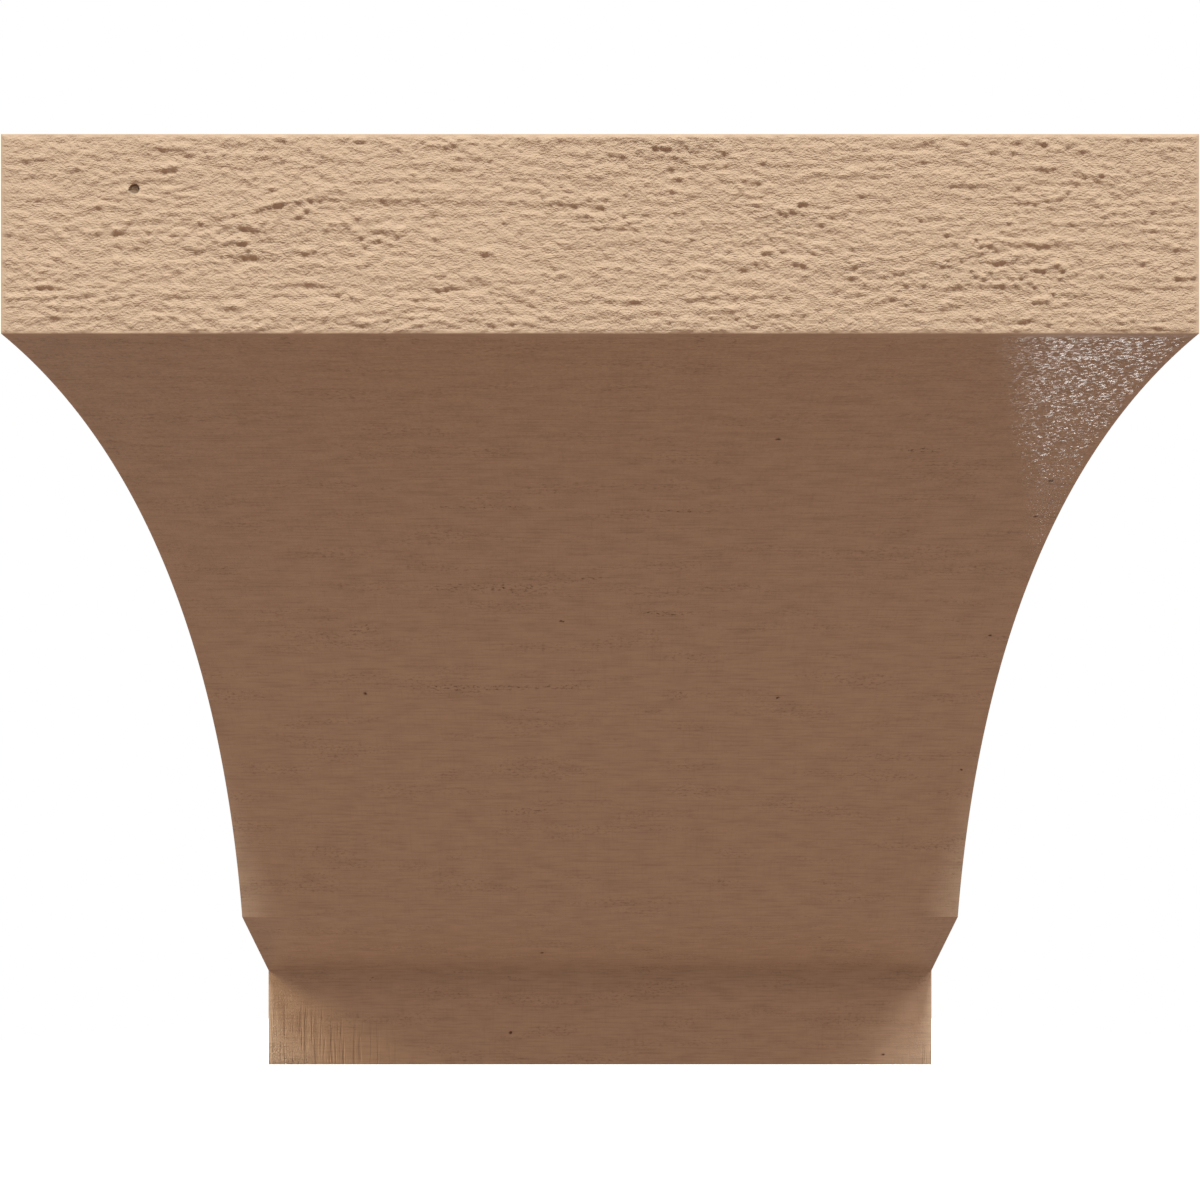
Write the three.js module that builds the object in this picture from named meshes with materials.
// A wall corbel, moulded in one piece of dense foam with the surface of rough-sawn timber.
//
// Millimetres, +Z up. The flat back lies in the plane y = 0 against the wall, the corbel
// projects along -Y and its width runs along X. The origin is the centre of the back, which
// is also half way up.
//
// From top to bottom the side profile is a thick slab, a deep cove, a chamfer that slopes
// back under the cove's lower edge, and a small upright foot.

import * as THREE from 'three';

// Driving dimensions

const width = 304.8;             // along the wall, 12 in
const height = 304.8;            // from the foot's underside to the top, 12 in
const projection = 304.8;        // from the wall to the slab's front, 12 in
const slabThickness = 50.8;      // upright front face above the cove, 2 in
const footHeight = 43.3;         // upright front face below the chamfer
const footProjection = 43.6;     // from the wall to the foot's front
const chamferHeight = 30.8;      // rise of the sloping face above the foot
const chamferProjection = 43.1;  // how far the cove's lower edge stands out past the foot
const coveDepth = 45.2;          // deepest point of the cove below the line between its ends
const arrisRadius = 0.5;         // softened edge around each side face

// Smoothness of the round stretches

const coveSegments = 56;
const arrisSegments = 3;

// Side profile: x is the distance from the wall, y the height above the centre

const top = height / 2;
const underside = -height / 2;

const backBottom = new THREE.Vector2(0, underside);
const footBottom = new THREE.Vector2(footProjection, underside);
const footTop = footBottom.clone().add(new THREE.Vector2(0, footHeight));
const coveLow = footTop.clone().add(new THREE.Vector2(chamferProjection, chamferHeight));
const coveHigh = new THREE.Vector2(projection, top - slabThickness);
const frontTop = new THREE.Vector2(projection, top);
const backTop = new THREE.Vector2(0, top);

/** Centre, radius and end angles of the arc from one point to another, bowed by its depth. */
function arcThrough(from, to, depth) {
  const chord = to.clone().sub(from);
  const radius = (chord.lengthSq() / 4 + depth * depth) / (2 * depth);
  const outward = new THREE.Vector2(chord.y, -chord.x).normalize();
  const middle = from.clone().add(to).multiplyScalar(0.5);
  const centre = middle.addScaledVector(outward, radius - depth);
  return {
    centre,
    radius,
    startAngle: from.clone().sub(centre).angle(),
    endAngle: to.clone().sub(centre).angle(),
  };
}

/** The closed outline of the side profile, anticlockwise from the bottom of the back. */
function sideProfile() {
  const cove = arcThrough(coveLow, coveHigh, coveDepth);
  const outline = new THREE.Shape();
  outline.moveTo(backBottom.x, backBottom.y);
  outline.lineTo(footBottom.x, footBottom.y);
  outline.lineTo(footTop.x, footTop.y);
  outline.lineTo(coveLow.x, coveLow.y);
  outline.absarc(cove.centre.x, cove.centre.y, cove.radius, cove.startAngle, cove.endAngle, true);
  outline.lineTo(frontTop.x, frontTop.y);
  outline.lineTo(backTop.x, backTop.y);
  outline.closePath();
  return outline;
}

/** The profile carried along the width, with its edges softened at both side faces. */
function corbelGeometry() {
  const geometry = new THREE.ExtrudeGeometry(sideProfile(), {
    depth: width - 2 * arrisRadius,
    curveSegments: coveSegments / 2,  // an arc in a shape takes twice this many
    bevelEnabled: true,
    bevelThickness: arrisRadius,
    bevelSize: arrisRadius,
    bevelOffset: -arrisRadius,
    bevelSegments: arrisSegments,
  });
  geometry.translate(0, 0, -(width / 2 - arrisRadius));

  // The profile's x turns to -Y, its y to +Z, and the extrusion lies along the width
  const standing = new THREE.Matrix4().makeBasis(
    new THREE.Vector3(0, -1, 0),
    new THREE.Vector3(0, 0, 1),
    new THREE.Vector3(-1, 0, 0),
  );
  geometry.applyMatrix4(standing);
  return geometry;
}

// Dense moulded foam under a flat tan primer

const primedFoam = new THREE.MeshStandardMaterial({
  color: '#bd9c7f',
  roughness: 0.55,
  metalness: 0,
});

const corbel = new THREE.Mesh(corbelGeometry(), primedFoam);
corbel.name = 'corbel';

const group = new THREE.Group();
group.add(corbel);

export default group;
